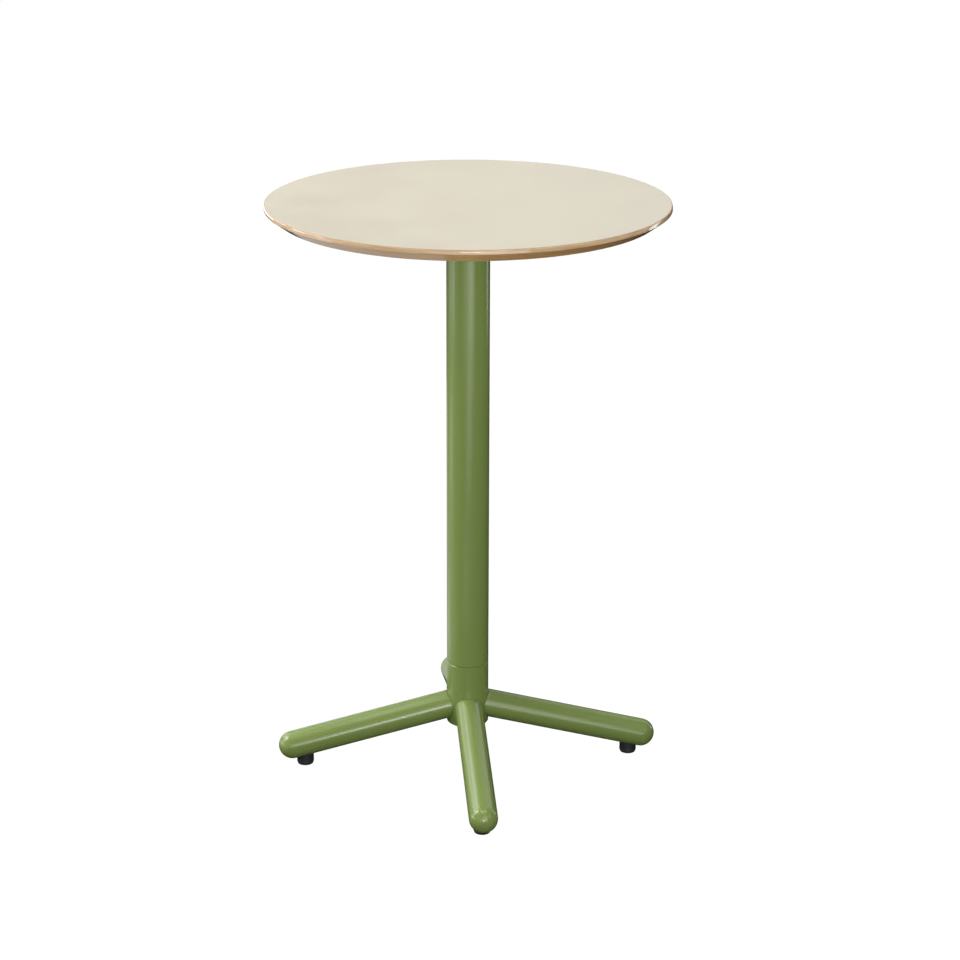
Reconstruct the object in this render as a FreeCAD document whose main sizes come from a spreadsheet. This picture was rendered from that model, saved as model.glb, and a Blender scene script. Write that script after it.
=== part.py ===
import FreeCAD, Part
import math
import os
import re

import Sketcher

# Standing meeting table: a round bar-height top on one steel column with four sloping legs.
# Frame: origin on the floor under the column, +Z up, the front leg towards -Y. Millimetres.
# The frame stands on four levelling feet, shown screwed right in.

doc = FreeCAD.newDocument("StandingMeetingTable")

# Driving sizes. Lengths in mm, angles in degrees.
driving_sizes = {
    # tabletop
    "table_height": 1050.0,
    "top_diameter": 700.0,
    "board_thickness": 22.0,
    "sheet_thickness": 0.8,
    "band_depth": 7.7,          # top face to the start of the reverse bevel
    "bevel_inset": 22.2,        # how far the bevel runs in, measured at the underside
    "arris_inset": 2.4,         # how far the top face ends inside the widest line
    "crown_inset": 0.7,         # the same for the board's own upper face
    "crown_depth": 4.6,         # top face down to where the rounding meets the upright band
    # joint between the top and the mounting plate
    "plate_diameter": 320.0,
    "plate_thickness": 6.0,
    "plate_chamfer": 2.0,
    "screw_edge_distance": 25.0,
    "screw_count": 8,
    "screw_diameter": 6.0,
    "screw_clearance": 0.3,
    "screw_engagement": 9.2,    # in the insert
    "screw_head_diameter": 12.0,
    "screw_head_height": 3.3,
    "insert_wall": 2.0,
    "insert_length": 14.0,
    # column and hub
    "column_diameter": 76.1,
    "column_wall": 3.0,
    "hub_rise": 77.2,           # where the legs' centre lines meet, up to the seam
    "hub_lip": 5.6,             # hub below the legs' lowest line on it
    "seam_chamfer": 1.1,
    "hub_edge_chamfer": 1.0,
    # inside the hub joint
    "spigot_clearance": 0.05,
    "spigot_wall": 4.0,
    "spigot_rise": 60.0,        # above the seam
    "spigot_drop": 40.0,        # below the seam
    "spigot_chamfer": 1.5,
    "hub_plate_thickness": 8.0,
    "foot_disc_gap": 1.0,       # spigot's upper end to the disc in the column
    "foot_disc_thickness": 12.0,
    "bolt_diameter": 12.0,
    "bolt_clearance": 0.5,
    "bolt_engagement": 8.5,     # in the column's disc
    "bolt_head_width": 18.0,    # across the flats
    "bolt_head_height": 7.5,
    "washer_diameter": 24.0,
    "washer_thickness": 2.5,
    "plug_recess": 1.5,
    "plug_floor": 2.5,
    "plug_skirt": 14.0,
    "plug_wall": 2.0,
    "plug_chamfer": 0.8,
    # legs
    "leg_diameter": 50.8,
    "leg_wall": 2.0,
    "leg_slope": 14.0,
    "dome_reach": 323.0,        # column's centre line to the dome's centre, level
    "dome_height": 36.8,        # floor to the dome's centre
    "cap_land": 7.0,            # end piece's skirt beyond the socket
    # levelling feet
    "foot_setback": 23.0,       # dome's centre back to the foot's centre line, level
    "knob_diameter": 31.0,
    "knob_height": 37.0,
    "knob_edge_chamfer": 1.0,
    "knob_rim_chamfer": 1.0,
    "socket_clearance": 0.4,
    "socket_wall": 1.2,
    "socket_boss": 12.0,
    "stop_clearance": 0.3,
    "stud_diameter": 8.0,
    "stud_clearance": 0.05,
    "stud_rise": 20.0,          # above the knob
    "stud_floor": 5.0,          # knob's floor under the stud
    "stud_chamfer": 1.0,
    "sole_diameter": 28.5,
    "sole_thickness": 3.0,
    "sole_chamfer": 0.8,
    "swivel_gap": 0.2,
    "peg_diameter": 10.0,
    "peg_height": 1.6,
    "peg_clearance": 0.08,
}

# Places worked out from the driving sizes, as formulas of the same sheet.
derived_places = {
    "top_radius": "top_diameter / 2",
    "surface_base": "table_height - sheet_thickness",
    "board_base": "surface_base - board_thickness",
    "backing_base": "board_base - sheet_thickness",
    "top_thickness": "table_height - backing_base",
    "bevel_fall": "top_thickness - band_depth",
    "underside_radius": "top_radius - bevel_inset",
    "board_foot_radius": "underside_radius + bevel_inset * sheet_thickness / bevel_fall",
    "band_foot": "board_thickness + sheet_thickness - band_depth",
    "crown_foot": "board_thickness + sheet_thickness - crown_depth",
    "crown_rise": "crown_depth - sheet_thickness",
    "crown_radius": "(crown_inset ^ 2 + crown_rise ^ 2) / (2 * crown_inset)",
    "plate_base": "backing_base - plate_thickness",
    "screw_circle_radius": "plate_diameter / 2 - screw_edge_distance",
    "screw_hole": "screw_diameter + 2 * screw_clearance",
    "screw_length": "plate_thickness + sheet_thickness + screw_engagement",
    "insert_diameter": "screw_diameter + 2 * insert_wall",
    "column_radius": "column_diameter / 2",
    "column_bore": "column_radius - column_wall",
    "leg_radius": "leg_diameter / 2",
    "leg_bore": "leg_radius - leg_wall",
    "leg_axis_height": "dome_height + dome_reach * tan(leg_slope)",
    "leg_low_line": "leg_axis_height - column_radius * tan(leg_slope) - leg_radius / cos(leg_slope)",
    "seam_height": "leg_axis_height + hub_rise",
    "hub_underside": "leg_low_line - hub_lip",
    "spigot_radius": "column_bore - spigot_clearance",
    "spigot_bore": "spigot_radius - spigot_wall",
    "spigot_base": "seam_height - spigot_drop",
    "hub_plate_base": "spigot_base - hub_plate_thickness",
    "foot_disc_base": "seam_height + spigot_rise + foot_disc_gap",
    "washer_base": "hub_plate_base - washer_thickness",
    "bolt_head_base": "washer_base - bolt_head_height",
    "bolt_bore": "bolt_diameter / 2 + bolt_clearance",
    "bolt_length": "foot_disc_base + bolt_engagement - washer_base",
    "knob_radius": "knob_diameter / 2",
    "knob_base": "sole_thickness + swivel_gap",
    "knob_top": "knob_base + knob_height",
    "socket_bore": "knob_radius + socket_clearance",
    "socket_radius": "socket_bore + socket_wall",
    "foot_reach": "dome_reach - foot_setback",
    "cap_skirt": "(foot_setback + socket_radius + cap_land) / cos(leg_slope)",
    "leg_run": "dome_reach / cos(leg_slope)",
    "leg_tube_length": "leg_run - cap_skirt",
    "socket_ceiling": "knob_top + stop_clearance",
    "socket_top": "socket_ceiling + socket_boss",
    "stud_radius": "stud_diameter / 2",
    "stud_length": "knob_height - stud_floor + stud_rise",
    "peg_radius": "peg_diameter / 2",
    "peg_bore": "peg_radius + peg_clearance",
    "peg_pocket": "peg_height + swivel_gap",
}

leg_azimuths = {"front": -90.0, "right": 0.0, "back": 90.0, "left": 180.0}

y_axis = FreeCAD.Vector(0, 1, 0)
z_axis = FreeCAD.Vector(0, 0, 1)

sheet = doc.addObject("Spreadsheet::Sheet", "Sizes")


def fill_sheet():
    """Writes one row per size: its name in column A, its number or formula in column B."""
    row = 1
    for alias, value in driving_sizes.items():
        sheet.set("A%d" % row, alias)
        sheet.set("B%d" % row, str(value))
        sheet.setAlias("B%d" % row, alias)
        row += 1
    for alias, formula in derived_places.items():
        sheet.set("A%d" % row, alias)
        sheet.set("B%d" % row, "=" + formula)
        sheet.setAlias("B%d" % row, alias)
        row += 1
    doc.recompute()


def in_sheet(formula):
    """The formula with every size in it read from the sheet."""
    def place(match):
        word = match.group(0)
        known = word in driving_sizes or word in derived_places
        return "Sizes." + word if known else word
    return re.sub(r"[a-z_]+", place, str(formula))


def value_of(formula):
    """The number a formula gives now, for a sketch's first guess."""
    result = sheet.evalExpression(in_sheet(formula))
    return float(getattr(result, "Value", result))


def bind(thing, **formulas):
    """Ties each named property of an object to a formula of the sheet."""
    for name, formula in formulas.items():
        thing.setExpression(name.replace("__", "."), in_sheet(formula))


def place_at(thing, across="0", up="0"):
    """Ties an object's place along X and Z to formulas of the sheet."""
    bind(thing, Placement__Base__x=across, Placement__Base__z=up)


def tilt(thing, angle):
    """Turns an object about Y by a formula's angle."""
    thing.Placement = FreeCAD.Placement(FreeCAD.Vector(), FreeCAD.Rotation(y_axis, 1.0))
    bind(thing, Placement__Rotation__Angle=angle)


# ---- sketches and bodies ----

def new_body(name):
    body = doc.addObject("PartDesign::Body", name)
    body.Label = name
    return body


def origin_plane(body, role):
    for feature in body.Origin.OriginFeatures:
        if feature.Role == role:
            return feature
    raise RuntimeError("no plane " + role)


def new_sketch(body, name, role):
    sketch = body.newObject("Sketcher::SketchObject", name)
    sketch.AttachmentSupport = [(origin_plane(body, role), "")]
    sketch.MapMode = "FlatFace"
    return sketch


def tie_point(sketch, edge, end, across, up, name):
    """Fixes one corner of a sketch at (across, up), each a formula of the sheet."""
    for kind, axis, formula, letter in (("DistanceX", -2, across, "x"), ("DistanceY", -1, up, "y")):
        if str(formula) == "0":
            sketch.addConstraint(Sketcher.Constraint("PointOnObject", edge, end, axis))
            continue
        guess = value_of(formula)
        index = sketch.addConstraint(Sketcher.Constraint(kind, -1, 1, edge, end, guess))
        sketch.renameConstraint(index, name + letter)
        sketch.setExpression("Constraints." + name + letter, in_sheet(formula))


def profile(body, name, corners, arcs=None, role="XZ_Plane"):
    """A closed outline through the corners, straight but for the arcs.

    arcs maps the number of a side to (radius, centre across, centre up, direction), where
    direction is 1 for an arc that runs anticlockwise along the outline and -1 for clockwise.
    """
    arcs = arcs or {}
    sketch = new_sketch(body, name, role)
    spots = [FreeCAD.Vector(value_of(across), value_of(up), 0) for across, up in corners]
    count = len(corners)
    ends = []
    for side in range(count):
        start = spots[side]
        finish = spots[(side + 1) % count]
        if side not in arcs:
            sketch.addGeometry(Part.LineSegment(start, finish), False)
            ends.append((1, 2))
            continue
        radius, centre_across, centre_up, direction = arcs[side]
        centre = FreeCAD.Vector(value_of(centre_across), value_of(centre_up), 0)
        first, last = (start, finish) if direction > 0 else (finish, start)
        angles = [math.atan2((spot - centre).y, (spot - centre).x) for spot in (first, last)]
        circle = Part.Circle(centre, z_axis, value_of(radius))
        sketch.addGeometry(Part.ArcOfCircle(circle, angles[0], angles[1]), False)
        ends.append((1, 2) if direction > 0 else (2, 1))
    for side in range(count):
        following = (side + 1) % count
        sketch.addConstraint(
            Sketcher.Constraint("Coincident", side, ends[side][1], following, ends[following][0]))
    for side, (across, up) in enumerate(corners):
        tie_point(sketch, side, ends[side][0], across, up, "corner%d" % side)
    for side in arcs:
        index = sketch.addConstraint(
            Sketcher.Constraint("Radius", side, value_of(arcs[side][0])))
        sketch.renameConstraint(index, "radius%d" % side)
        sketch.setExpression("Constraints.radius%d" % side, in_sheet(arcs[side][0]))
    return sketch


def circles(body, name, diameters, across="0"):
    """Concentric circles in the body's XY plane, their centre on its X axis."""
    sketch = new_sketch(body, name, "XY_Plane")
    for number, diameter in enumerate(diameters):
        centre = FreeCAD.Vector(value_of(across), 0, 0)
        sketch.addGeometry(Part.Circle(centre, z_axis, value_of(diameter) / 2), False)
        tie_point(sketch, number, 3, across, "0", "centre%d" % number)
        index = sketch.addConstraint(Sketcher.Constraint("Diameter", number, value_of(diameter)))
        sketch.renameConstraint(index, "diameter%d" % number)
        sketch.setExpression("Constraints.diameter%d" % number, in_sheet(diameter))
    return sketch


def revolve(body, sketch, axis="V_Axis"):
    feature = body.newObject("PartDesign::Revolution", body.Name + "_turn")
    feature.Profile = sketch
    feature.ReferenceAxis = (sketch, [axis])
    feature.Angle = 360
    sketch.Visibility = False
    return feature


def pad(body, sketch, length, down=False):
    feature = body.newObject("PartDesign::Pad", sketch.Name + "_pad")
    feature.Profile = sketch
    feature.Reversed = down
    bind(feature, Length=length)
    return feature


def pocket(body, sketch, depth):
    """Cuts upwards from the body's XY plane."""
    feature = body.newObject("PartDesign::Pocket", sketch.Name + "_cut")
    feature.Profile = sketch
    feature.Reversed = True
    bind(feature, Length=depth)
    return feature


def ring_pattern(body, features):
    """Repeats features evenly about the body's Z axis, once per screw."""
    pattern = body.newObject("PartDesign::PolarPattern", body.Name + "_ring")
    pattern.Originals = features
    pattern.Axis = (features[0].Profile[0], ["N_Axis"])
    pattern.Angle = 360
    bind(pattern, Occurrences="screw_count")
    body.Tip = pattern
    return pattern


def turned(name, corners, arcs=None, up="0", across="0"):
    """A body turned about its own Z axis from one outline."""
    body = new_body(name)
    revolve(body, profile(body, name + "_outline", corners, arcs))
    place_at(body, across, up)
    return body


# ---- solids and booleans ----

def cylinder(name, radius, height, across="0", up="0"):
    solid = doc.addObject("Part::Cylinder", name)
    bind(solid, Radius=radius, Height=height)
    place_at(solid, across, up)
    return solid


def along_leg(name, radius, length):
    """A cylinder on the leg's centre line, from the column's centre line outwards."""
    solid = doc.addObject("Part::Cylinder", name)
    tilt(solid, "90 + leg_slope")
    bind(solid, Radius=radius, Height=length, Placement__Base__z="leg_axis_height")
    return solid


def boolean(kind, name, base, tool):
    result = doc.addObject("Part::" + kind, name)
    result.Label = name
    result.Base = base
    result.Tool = tool
    return result


def face_outwards(thing, side):
    """Turns a finished piece from +X to its own leg's side."""
    thing.Placement = FreeCAD.Placement(FreeCAD.Vector(), FreeCAD.Rotation(z_axis, leg_azimuths[side]))


# ---- tabletop ----

def top_surface_sheet():
    """Laminate on the top face; its edge follows the board's rounding."""
    return turned("top_surface_sheet", [
        ("0", "0"),
        ("top_radius - crown_inset", "0"),
        ("top_radius - arris_inset", "sheet_thickness"),
        ("0", "sheet_thickness"),
    ], up="surface_base")


def top_core():
    """Wooden board: reverse bevel, upright band, rounded crown, blind holes for the inserts."""
    body = new_body("top_core")
    outline = profile(body, "top_core_outline", [
        ("0", "0"),
        ("board_foot_radius", "0"),
        ("top_radius", "band_foot"),
        ("top_radius", "crown_foot"),
        ("top_radius - crown_inset", "board_thickness"),
        ("0", "board_thickness"),
    ], {3: ("crown_radius", "top_radius - crown_radius", "crown_foot", 1)})
    revolve(body, outline)
    hole = circles(body, "insert_hole", ["insert_diameter"], "screw_circle_radius")
    ring_pattern(body, [pocket(body, hole, "insert_length")])
    place_at(body, up="board_base")
    return body


def top_backing_sheet():
    """Balancing laminate on the underside, drilled where the inserts sit."""
    body = new_body("top_backing_sheet")
    outline = profile(body, "top_backing_sheet_outline", [
        ("0", "0"),
        ("underside_radius", "0"),
        ("board_foot_radius", "sheet_thickness"),
        ("0", "sheet_thickness"),
    ])
    revolve(body, outline)
    hole = circles(body, "backing_hole", ["insert_diameter"], "screw_circle_radius")
    ring_pattern(body, [pocket(body, hole, "sheet_thickness")])
    place_at(body, up="backing_base")
    return body


def top_inserts():
    """Threaded inserts, flush with the board's underside."""
    body = new_body("top_inserts")
    body.AllowCompound = True
    outline = circles(body, "insert", ["insert_diameter", "screw_diameter"], "screw_circle_radius")
    ring_pattern(body, [pad(body, outline, "insert_length")])
    place_at(body, up="board_base")
    return body


def plate_screws():
    """Button-head screws with a hexagon socket, up through the plate into the inserts."""
    body = new_body("plate_screws")
    body.AllowCompound = True
    centre = "screw_circle_radius"
    head = circles(body, "screw_head", ["screw_head_diameter"], centre)
    shank = circles(body, "screw_shank", ["screw_diameter"], centre)
    head_pad = pad(body, head, "screw_head_height", down=True)
    shank_pad = pad(body, shank, "screw_length")
    ring_pattern(body, [head_pad, shank_pad])
    place_at(body, up="plate_base")
    return body


def mounting_plate():
    """Round steel plate, welded to the column and drilled for the screws."""
    body = new_body("mounting_plate")
    outline = profile(body, "mounting_plate_outline", [
        ("0", "0"),
        ("plate_diameter / 2 - plate_chamfer", "0"),
        ("plate_diameter / 2", "plate_chamfer"),
        ("plate_diameter / 2", "plate_thickness"),
        ("0", "plate_thickness"),
    ])
    revolve(body, outline)
    hole = circles(body, "plate_hole", ["screw_hole"], "screw_circle_radius")
    ring_pattern(body, [pocket(body, hole, "plate_thickness")])
    place_at(body, up="plate_base")
    return body


# ---- column and hub ----

def column_tube():
    """Round tube from the seam to the mounting plate, its lower edge broken."""
    return turned("column_tube", [
        ("column_bore", "0"),
        ("column_radius - seam_chamfer", "0"),
        ("column_radius", "seam_chamfer"),
        ("column_radius", "plate_base - seam_height"),
        ("column_bore", "plate_base - seam_height"),
    ], up="seam_height")


def column_foot_disc():
    """Tapped disc welded inside the column, above the spigot."""
    return turned("column_foot_disc", [
        ("bolt_diameter / 2", "0"),
        ("column_bore", "0"),
        ("column_bore", "foot_disc_thickness"),
        ("bolt_diameter / 2", "foot_disc_thickness"),
    ], up="foot_disc_base")


def hub_tube():
    """Short tube that carries the legs and ends flush with the column at the seam."""
    return turned("hub_tube", [
        ("column_bore", "0"),
        ("column_radius - hub_edge_chamfer", "0"),
        ("column_radius", "hub_edge_chamfer"),
        ("column_radius", "seam_height - hub_underside - seam_chamfer"),
        ("column_radius - seam_chamfer", "seam_height - hub_underside"),
        ("column_bore", "seam_height - hub_underside"),
    ], up="hub_underside")


def hub_spigot():
    """Sleeve inside the hub that centres the column on it."""
    return turned("hub_spigot", [
        ("spigot_bore", "0"),
        ("spigot_radius", "0"),
        ("spigot_radius", "spigot_drop + spigot_rise - spigot_chamfer"),
        ("spigot_radius - spigot_chamfer", "spigot_drop + spigot_rise"),
        ("spigot_bore", "spigot_drop + spigot_rise"),
    ], up="spigot_base")


def hub_plate():
    """Disc welded in the hub under the spigot; the clamp bolt pulls against it."""
    return turned("hub_plate", [
        ("bolt_bore", "0"),
        ("column_bore", "0"),
        ("column_bore", "hub_plate_thickness"),
        ("bolt_bore", "hub_plate_thickness"),
    ], up="hub_plate_base")


def clamp_washer():
    return turned("clamp_washer", [
        ("bolt_bore", "0"),
        ("washer_diameter / 2", "0"),
        ("washer_diameter / 2", "washer_thickness"),
        ("bolt_bore", "washer_thickness"),
    ], up="washer_base")


def clamp_bolt():
    """Hexagon-head bolt, up through the hub's disc into the column's."""
    head = doc.addObject("Part::Prism", "clamp_bolt_head")
    head.Polygon = 6
    bind(head, Circumradius="bolt_head_width / 2 / cos(30)", Height="bolt_head_height")
    place_at(head, up="bolt_head_base")
    shank = cylinder("clamp_bolt_shank", "bolt_diameter / 2", "bolt_length", up="washer_base")
    return boolean("Fuse", "clamp_bolt", head, shank)


def hub_plug():
    """Push-in plug that closes the hub's lower end."""
    return turned("hub_plug", [
        ("0", "0"),
        ("column_bore - plug_chamfer", "0"),
        ("column_bore", "plug_chamfer"),
        ("column_bore", "plug_skirt"),
        ("column_bore - plug_wall", "plug_skirt"),
        ("column_bore - plug_wall", "plug_floor"),
        ("0", "plug_floor"),
    ], up="hub_underside + plug_recess")


# ---- legs ----

def leg_tube(side):
    """Round tube, its inner end coped to the hub and mitred where two legs would meet."""
    outside = along_leg(side + "_leg_outside", "leg_radius", "leg_tube_length")
    bore = along_leg(side + "_leg_bore", "leg_bore", "leg_tube_length")
    blank = boolean("Cut", side + "_leg_blank", outside, bore)
    hub = cylinder(side + "_leg_cope", "column_radius", "seam_height")
    coped = boolean("Cut", side + "_leg_coped", blank, hub)
    quarter = doc.addObject("Part::Box", side + "_leg_quarter")
    quarter.Placement = FreeCAD.Placement(FreeCAD.Vector(), FreeCAD.Rotation(z_axis, -45.0))
    bind(quarter, Length="leg_run", Width="leg_run", Height="seam_height")
    leg = boolean("Common", side + "_leg_tube", coped, quarter)
    face_outwards(leg, side)
    return leg


def leg_end_cap(side):
    """Domed end piece with a straight skirt, drilled upwards for the foot's socket."""
    blank = new_body(side + "_cap_blank")
    outline = profile(blank, side + "_cap_outline", [
        ("0", "leg_radius"),
        ("leg_radius", "0"),
        ("leg_bore", "0"),
        ("0", "leg_bore"),
        ("-cap_skirt", "leg_bore"),
        ("-cap_skirt", "leg_radius"),
    ], {0: ("leg_radius", "0", "0", -1), 2: ("leg_bore", "0", "0", 1)})
    revolve(blank, outline, "H_Axis")
    tilt(blank, "leg_slope")
    place_at(blank, "dome_reach", "dome_height")
    hole = cylinder(side + "_cap_hole", "socket_radius", "socket_top", "foot_reach")
    cap = boolean("Cut", side + "_leg_end_cap", blank, hole)
    face_outwards(cap, side)
    return cap


def foot_socket(side):
    """Cup welded in the end piece, its rim flush with the leg, its boss tapped for the stud."""
    shaft = along_leg(side + "_socket_shaft", "leg_radius", "leg_run")
    dome = doc.addObject("Part::Sphere", side + "_socket_dome")
    bind(dome, Radius="leg_radius")
    place_at(dome, "dome_reach", "dome_height")
    envelope = boolean("Fuse", side + "_socket_envelope", shaft, dome)
    blank = cylinder(side + "_socket_blank", "socket_radius", "socket_top", "foot_reach")
    flush = boolean("Common", side + "_socket_flush", blank, envelope)
    room = cylinder(side + "_socket_room", "socket_bore", "socket_ceiling", "foot_reach")
    cup = boolean("Cut", side + "_socket_cup", flush, room)
    tapping = cylinder(side + "_socket_tapping", "stud_radius + stud_clearance", "socket_top", "foot_reach")
    socket = boolean("Cut", side + "_foot_socket", cup, tapping)
    face_outwards(socket, side)
    return socket


# ---- levelling feet ----

def stand_under(body, side):
    """Places a foot's piece on its own leg's side; its height is already tied."""
    turn = FreeCAD.Rotation(z_axis, leg_azimuths[side])
    body.Placement = FreeCAD.Placement(body.Placement.Base, turn)
    angle = leg_azimuths[side]
    bind(body,
         Placement__Base__x="foot_reach * cos(%g)" % angle,
         Placement__Base__y="foot_reach * sin(%g)" % angle)
    return body


def foot_stud(side):
    """Threaded stud, moulded into the knob."""
    body = turned(side + "_foot_stud", [
        ("0", "0"),
        ("stud_radius", "0"),
        ("stud_radius", "stud_length - stud_chamfer"),
        ("stud_radius - stud_chamfer", "stud_length"),
        ("0", "stud_length"),
    ], up="knob_base + stud_floor")
    return stand_under(body, side)


def foot_knob(side):
    """Round moulded knob: the stud's seat above, the sole's pivot pocket below."""
    body = turned(side + "_foot_knob", [
        ("0", "peg_pocket"),
        ("peg_bore", "peg_pocket"),
        ("peg_bore", "0"),
        ("knob_radius - knob_edge_chamfer", "0"),
        ("knob_radius", "knob_edge_chamfer"),
        ("knob_radius", "knob_height - knob_rim_chamfer"),
        ("knob_radius - knob_rim_chamfer", "knob_height"),
        ("stud_radius", "knob_height"),
        ("stud_radius", "stud_floor"),
        ("0", "stud_floor"),
    ], up="knob_base")
    return stand_under(body, side)


def foot_sole(side):
    """Thin pad on a pivot peg; it stays still on the floor while the knob turns."""
    body = turned(side + "_foot_sole", [
        ("0", "0"),
        ("sole_diameter / 2 - sole_chamfer", "0"),
        ("sole_diameter / 2", "sole_chamfer"),
        ("sole_diameter / 2", "sole_thickness"),
        ("peg_radius", "sole_thickness"),
        ("peg_radius", "sole_thickness + peg_height"),
        ("0", "sole_thickness + peg_height"),
    ])
    return stand_under(body, side)


# ---- build, check and write ----

def check(pieces):
    """Stops the build if anything failed or a piece isn't a sound solid."""
    for thing in doc.Objects:
        if "Invalid" in thing.State or "Error" in thing.State:
            raise RuntimeError("%s failed: %s" % (thing.Label, thing.State))
    for piece in pieces:
        if piece.Shape.isNull() or not piece.Shape.isValid() or not piece.Shape.Solids:
            raise RuntimeError("%s is not a sound solid" % piece.Label)


def write(pieces):
    os.makedirs("parts", exist_ok=True)
    for piece in pieces:
        piece.Shape.exportStep("parts/%s.step" % piece.Label)
        solids = piece.Shape.Solids
        volume = sum(solid.Volume for solid in solids)
        print("%-22s %d solid(s) %12.1f mm3" % (piece.Label, len(solids), volume))


fill_sheet()

table = [
    top_surface_sheet(),
    top_core(),
    top_backing_sheet(),
    top_inserts(),
    plate_screws(),
    mounting_plate(),
    column_tube(),
    column_foot_disc(),
    hub_tube(),
    hub_spigot(),
    hub_plate(),
    clamp_bolt(),
    clamp_washer(),
    hub_plug(),
]
for leg_side in leg_azimuths:
    for make in (leg_tube, leg_end_cap, foot_socket, foot_stud, foot_knob, foot_sole):
        table.append(make(leg_side))

doc.recompute()
check(table)
write(table)
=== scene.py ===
import math

import bmesh
import bpy
import numpy as np
from mathutils import Matrix, Vector


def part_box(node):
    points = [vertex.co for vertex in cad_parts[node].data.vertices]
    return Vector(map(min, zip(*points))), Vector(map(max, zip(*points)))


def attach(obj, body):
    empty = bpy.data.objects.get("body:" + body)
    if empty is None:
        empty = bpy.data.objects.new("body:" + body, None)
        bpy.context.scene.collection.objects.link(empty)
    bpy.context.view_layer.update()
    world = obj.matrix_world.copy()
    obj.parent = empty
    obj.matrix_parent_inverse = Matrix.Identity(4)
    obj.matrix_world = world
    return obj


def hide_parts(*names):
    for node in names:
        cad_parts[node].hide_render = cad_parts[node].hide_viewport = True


# Looks of a standing meeting table: laminated round top with a lacquered wooden edge,
# powder-coated column, hub and four legs, black levelling feet. Metres throughout.

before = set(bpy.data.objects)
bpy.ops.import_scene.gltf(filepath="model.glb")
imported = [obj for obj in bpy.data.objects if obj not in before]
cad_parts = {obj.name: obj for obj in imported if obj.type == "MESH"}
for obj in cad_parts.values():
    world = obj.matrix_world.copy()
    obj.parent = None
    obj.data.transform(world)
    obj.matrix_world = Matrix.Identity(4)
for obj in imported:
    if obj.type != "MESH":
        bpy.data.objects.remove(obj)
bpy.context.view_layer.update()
mm = 0.001
mergeDistance = 0.003 * mm
fullTurn = 2 * math.pi
legAzimuths = {"front": -90.0, "right": 0.0, "back": 90.0, "left": 180.0}
print("frame loaded:", len(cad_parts), "nodes")


# Surfaces

def ringAngles(count):  # evenly spaced angles, one full turn
    return np.arange(count) * (fullTurn / count)


def unit(arrows):  # the same directions, one long
    return arrows / np.linalg.norm(arrows, axis=-1, keepdims=True)


def aboutZ(degrees):  # the matrix that turns rows of points about Z
    return np.array(Matrix.Rotation(math.radians(degrees), 3, "Z")).T


# Each corner (across, up, radius) is cut back along both its sides by radius / tan(half its angle)
# and bridged by a circular arc; one more point beyond each end of the arc keeps flat faces flat.
def softOutline(corners, closed=True, steps=6, support=0.3 * mm):
    table = np.array(corners, float)
    places, radii = table[:, :2], table[:, 2]
    back = np.roll(places, 1, axis=0) - places
    ahead = np.roll(places, -1, axis=0) - places
    if not closed:
        places, radii, back, ahead = places[1:-1], radii[1:-1], back[1:-1], ahead[1:-1]
    back, ahead = unit(back), unit(ahead)
    half = np.arccos(np.clip((back * ahead).sum(axis=1), -1, 1)) / 2
    cut = radii / np.tan(half)
    centres = places + unit(back + ahead) * (radii / np.sin(half))[:, None]
    first = places + back * cut[:, None] - centres
    last = places + ahead * cut[:, None] - centres
    sweep = (math.pi - 2 * half)[:, None]
    share = np.linspace(0, 1, steps)[None, :]
    firstPart = (np.sin((1 - share) * sweep) / np.sin(sweep))[..., None]
    lastPart = (np.sin(share * sweep) / np.sin(sweep))[..., None]
    arcs = centres[:, None] + firstPart * first[:, None] + lastPart * last[:, None]
    before = (places + back * (cut + support)[:, None])[:, None]
    after = (places + ahead * (cut + support)[:, None])[:, None]
    outline = np.concatenate([before, arcs, after], axis=1).reshape(-1, 2)
    if closed:
        return outline
    return np.concatenate([table[:1, :2], outline, table[-1:, :2]])


# A point of the outline at distance r and height z goes to (r cos a, r sin a, z) for every angle a.
def turned(outline, count, centre=(0.0, 0.0)):
    angles = ringAngles(count)
    across, up = outline[:, 0, None], outline[:, 1, None]
    return np.stack([
        centre[0] + across * np.cos(angles),
        centre[1] + across * np.sin(angles),
        up + 0 * angles,
    ], axis=-1)


# Quads between neighbouring rows and columns of a grid of points; wrapped rows or columns join
# the last to the first, and a mask leaves faces out.
def shell(points, wrapRows=False, wrapColumns=True, kept=None):
    rows, columns = points.shape[:2]
    index = np.arange(rows * columns).reshape(rows, columns)
    if wrapRows:
        index = np.concatenate([index, index[:1]])
    if wrapColumns:
        index = np.concatenate([index, index[:, :1]], axis=1)
    quads = np.stack([index[:-1, :-1], index[:-1, 1:], index[1:, 1:], index[1:, :-1]], axis=-1)
    quads = quads.reshape(-1, 4) if kept is None else quads[kept]
    return points.reshape(-1, 3), quads


# The same shells turned about Z, for what repeats round the table.
def turnShells(shells, degrees):
    return [(points @ aboutZ(degrees), quads) for points, quads in shells]


def repeatRound(shells, count):  # the same shells copied at even turns
    return [part for copy in range(count) for part in turnShells(shells, copy * 360 / count)]


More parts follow.
